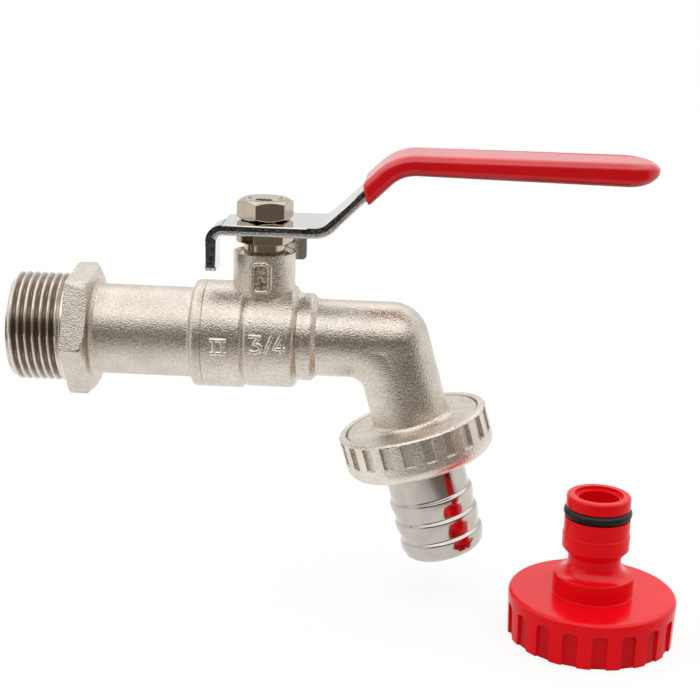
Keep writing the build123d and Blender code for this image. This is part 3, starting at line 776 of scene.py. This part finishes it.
def floor_material():
    """Pale matte floor, nearly white to the eye and in reflections, where its front edge is dimmer by a
    painted fall-off of light.
    """
    material, tree, shader = new_shader("floor")
    tone = add_mix(tree, add_noise(tree, FLOOR_CLOUD_SCALE, detail=2), FLOOR_DARK, FLOOR_PALE)
    tree.links.new(tone, shader.inputs["Base Color"])
    shader.inputs["Roughness"].default_value = 1.0
    shader.inputs["Specular IOR Level"].default_value = 0.0
    path = tree.nodes.new("ShaderNodeLightPath")
    seen = add_math(tree, "MAXIMUM", path.outputs["Is Camera Ray"], path.outputs["Is Glossy Ray"])
    seen = add_math(tree, "MAXIMUM", seen, path.outputs["Is Transmission Ray"])
    place = add_split(tree, tree.nodes.new("ShaderNodeTexCoord").outputs["Object"])
    fade_end = FLOOR_FRONT + FLOOR_FADE
    # painted fall-off: the glow seen in reflections dims towards the front edge
    painted_falloff = add_range(tree, place["Y"], FLOOR_FRONT, fade_end, FLOOR_PAINTED_FALLOFF_LEVEL, 1.0, True)
    painted_falloff = add_math(tree, "MAXIMUM", painted_falloff, path.outputs["Is Camera Ray"])
    glow = tree.nodes.new("ShaderNodeEmission")
    tree.links.new(add_math(tree, "MULTIPLY", painted_falloff, FLOOR_GLOW), glow.inputs["Strength"])
    blend = tree.nodes.new("ShaderNodeMixShader")
    tree.links.new(add_math(tree, "MULTIPLY", seen, FLOOR_GLOW_SHARE), blend.inputs["Fac"])
    tree.links.new(shader.outputs["BSDF"], blend.inputs[1])
    tree.links.new(glow.outputs["Emission"], blend.inputs[2])
    tree.links.new(blend.outputs["Shader"], tree.nodes["Material Output"].inputs["Surface"])
    return material


def make_floor():
    """Floor under the adapter's foot, with the object's shadow."""
    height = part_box("click_adapter")[0].z
    corners = [
        (FLOOR_LEFT, FLOOR_FRONT, height), (FLOOR_RIGHT, FLOOR_FRONT, height),
        (FLOOR_RIGHT, FLOOR_BACK, height), (FLOOR_LEFT, FLOOR_BACK, height),
    ]
    data = bpy.data.meshes.new("floor")
    data.from_pydata(corners, [], [(0, 1, 2, 3)])
    data.materials.append(floor_material())
    floor = bpy.data.objects.new("floor", data)
    bpy.context.scene.collection.objects.link(floor)


def make_world():
    """White to the eye, and to the object a pale room with a bright ceiling, dark behind the camera."""
    world = bpy.data.worlds.new("studio")
    bpy.context.scene.world = world
    world.use_nodes = True
    tree = world.node_tree
    background = tree.nodes["Background"]
    way = add_split(tree, tree.nodes.new("ShaderNodeTexCoord").outputs["Generated"])
    height = add_math(tree, "ARCSINE", way["Z"])
    toward = add_math(tree, "MULTIPLY", way["Y"], -1.0)
    side = add_math(tree, "SUBTRACT", add_math(tree, "ARCTAN2", way["X"], toward), VIEW_AZIMUTH)
    dark = add_fade(tree, height, DARK_FOOT, 0, 1)
    dark = add_math(tree, "MULTIPLY", dark, add_fade(tree, height, DARK_TOP, 1, 0))
    dark = add_math(tree, "MULTIPLY", dark, add_fade(tree, side, DARK_LEFT, 0, 1))
    dark = add_math(tree, "MULTIPLY", dark, add_fade(tree, side, DARK_RIGHT, 1, 0))
    ceiling = add_fade(tree, height, WALL_TOP, WALL_LEVEL, CEILING_LEVEL)
    ceiling = add_math(tree, "MULTIPLY", ceiling, add_fade(tree, height, ZENITH, 1.0, ZENITH_SHARE))
    lit = add_math(tree, "MULTIPLY", ceiling, add_range(tree, dark, 0, 1, 1, DARK_LEVEL))
    seen = tree.nodes.new("ShaderNodeLightPath").outputs["Is Camera Ray"]
    tree.links.new(add_math(tree, "MAXIMUM", lit, seen), background.inputs["Strength"])
    brown = add_math(tree, "MULTIPLY", dark, add_math(tree, "SUBTRACT", 1.0, seen))
    tree.links.new(add_mix(tree, brown, WHITE, DARK_TINT), background.inputs["Color"])


dress_cad_nodes()
make_inlet()
make_lever()
make_sleeve()
make_rounded_pieces()
make_marks()
make_badge()
make_camera()
make_floor()
make_world()
bpy.context.scene.view_settings.view_transform = "Standard"
